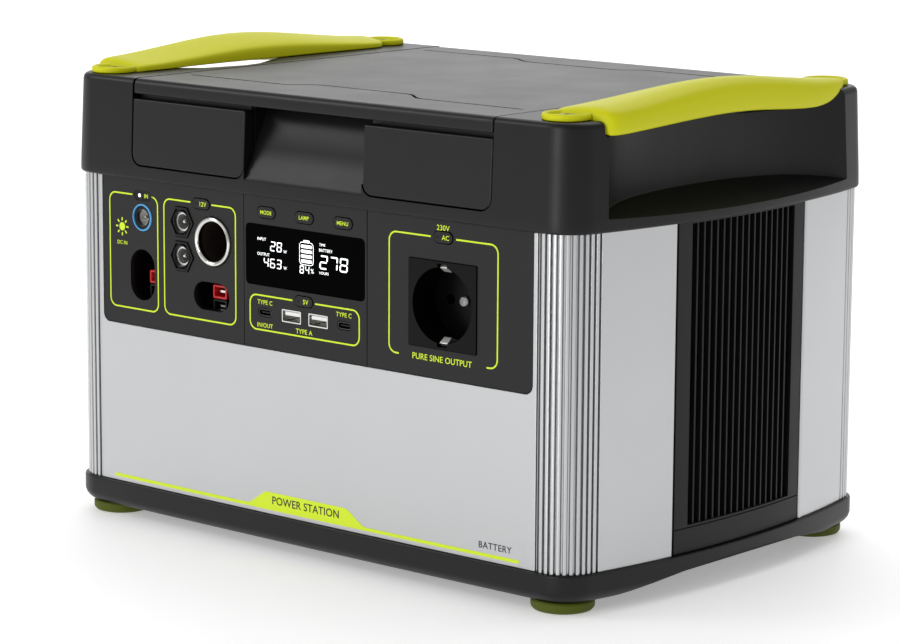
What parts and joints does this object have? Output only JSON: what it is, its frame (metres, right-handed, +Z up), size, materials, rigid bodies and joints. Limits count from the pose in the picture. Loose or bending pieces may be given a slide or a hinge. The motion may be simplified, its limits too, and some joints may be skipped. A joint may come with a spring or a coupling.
{
  "type": "portable power station",
  "caption": "Portable battery power station with a hinged storage lid, port panel with display and outlets, ribbed aluminium case, side vents and two carrying handles.",
  "frame": {"origin": "on the ground under the middle of the case", "axes": "+X to the right seen from the port panel, front (port panel) at -Y, +Z up"},
  "size_m": [0.3874, 0.2598, 0.2608],
  "materials": {
    "black_plastic": "satin black moulded plastic, fine grain",
    "lid_plastic": "satin black moulded plastic, fine grain",
    "panel_plastic": "matte dark grey moulded plastic",
    "grille_plastic": "matte black moulded plastic",
    "port_plastic": "smooth black plastic",
    "outlet_plastic": "smooth black plastic",
    "button_rubber": "black silicone rubber",
    "led_window": "smoked window",
    "display_glass": "polished black window with printed and lit segments",
    "circuit_board": "green solder mask",
    "lime_plastic": "satin lime moulded plastic",
    "lime_rubber": "lime rubber",
    "corner_aluminium": "extruded, satin anodised",
    "sheet_aluminium": "bead-blasted, satin anodised",
    "bright_steel": "bright nickel plate",
    "dark_steel": "dark plated shell",
    "screw_steel": "zinc-plated steel",
    "blue_plastic": "blue ring moulding",
    "red_plastic": "red nylon",
    "battery_wrap": "heat-shrink wrap",
    "copper_winding": "varnished copper winding",
    "fan_plastic": "black fan frame",
    "impeller_plastic": "black fan impeller"
  },
  "bodies": {
    "case": {"base_tray": "black_plastic", "foot_front_left": "lime_rubber", "foot_front_right": "lime_rubber", "foot_rear_left": "lime_rubber", "foot_rear_right": "lime_rubber", "corner_front_left": "corner_aluminium", "corner_front_right": "corner_aluminium", "corner_rear_left": "corner_aluminium", "corner_rear_right": "corner_aluminium", "front_panel": "sheet_aluminium", "rear_panel": "sheet_aluminium", "vent_grille_left": "grille_plastic", "vent_grille_right": "grille_plastic", "fan_frame_left": "fan_plastic", "fan_frame_right": "fan_plastic", "input_panel": "panel_plastic", "display_panel": "panel_plastic", "ac_panel": "panel_plastic", "display_window": "display_glass", "display_board": "circuit_board", "input_led": "led_window", "solar_port": "blue_plastic", "hex_port_upper": "port_plastic", "hex_port_lower": "port_plastic", "car_socket": "port_plastic", "car_socket_ring": "bright_steel", "high_power_input": "red_plastic", "high_power_output": "red_plastic", "usb_a_left": "bright_steel", "usb_a_right": "bright_steel", "usb_c_left": "dark_steel", "usb_c_right": "dark_steel", "ac_socket": "outlet_plastic", "earth_clip_upper": "bright_steel", "earth_clip_lower": "bright_steel", "top_housing": "black_plastic", "hinge_pin": "bright_steel", "compartment_tray": "black_plastic", "expansion_module": "panel_plastic", "handle_left": "lime_plastic", "handle_right": "lime_plastic", "handle_screw_front_left": "screw_steel", "handle_screw_front_right": "screw_steel", "handle_screw_rear_left": "screw_steel", "handle_screw_rear_right": "screw_steel", "battery_pack": "battery_wrap", "battery_board": "circuit_board", "inverter_board": "circuit_board", "heat_sink": "sheet_aluminium", "transformer": "copper_winding"},
    "lid": {"lid": "lid_plastic"},
    "units_button": {"button_units": "button_rubber"},
    "light_button": {"button_light": "button_rubber"},
    "info_button": {"button_info": "button_rubber"},
    "dc_button": {"button_12v": "button_rubber"},
    "usb_button": {"button_usb": "button_rubber"},
    "ac_button": {"button_ac": "button_rubber"},
    "pairing_button": {"pair_button": "lime_plastic"},
    "impeller_left": {"fan_impeller_left": "impeller_plastic"},
    "impeller_right": {"fan_impeller_right": "impeller_plastic"}
  },
  "joints": [
    {"name": "lid_hinge", "type": "hinge", "parent": "case", "child": "lid", "pos_m": [0, 0.123, 0.241], "axis": [-1, 0, 0], "range_deg": [0, 100]},
    {"name": "units_press", "type": "slide", "parent": "case", "child": "units_button", "axis": [0, 1, 0], "range_m": [0, 0.001], "stiffness_N_per_m": 400, "springref_m": -0.0005},
    {"name": "light_press", "type": "slide", "parent": "case", "child": "light_button", "axis": [0, 1, 0], "range_m": [0, 0.001], "stiffness_N_per_m": 400, "springref_m": -0.0005},
    {"name": "info_press", "type": "slide", "parent": "case", "child": "info_button", "axis": [0, 1, 0], "range_m": [0, 0.001], "stiffness_N_per_m": 400, "springref_m": -0.0005},
    {"name": "dc_press", "type": "slide", "parent": "case", "child": "dc_button", "axis": [0, 1, 0], "range_m": [0, 0.001], "stiffness_N_per_m": 400, "springref_m": -0.0005},
    {"name": "usb_press", "type": "slide", "parent": "case", "child": "usb_button", "axis": [0, 1, 0], "range_m": [0, 0.001], "stiffness_N_per_m": 400, "springref_m": -0.0005},
    {"name": "ac_press", "type": "slide", "parent": "case", "child": "ac_button", "axis": [0, 1, 0], "range_m": [0, 0.001], "stiffness_N_per_m": 400, "springref_m": -0.0005},
    {"name": "pair_press", "type": "slide", "parent": "case", "child": "pairing_button", "axis": [0, 0, -1], "range_m": [0, 0.001], "stiffness_N_per_m": 400, "springref_m": -0.0005},
    {"name": "fan_spin_left", "type": "hinge", "parent": "case", "child": "impeller_left", "pos_m": [-0.1725, 0, 0.112], "axis": [1, 0, 0], "continuous": true},
    {"name": "fan_spin_right", "type": "hinge", "parent": "case", "child": "impeller_right", "pos_m": [0.1725, 0, 0.112], "axis": [1, 0, 0], "continuous": true}
  ]
}
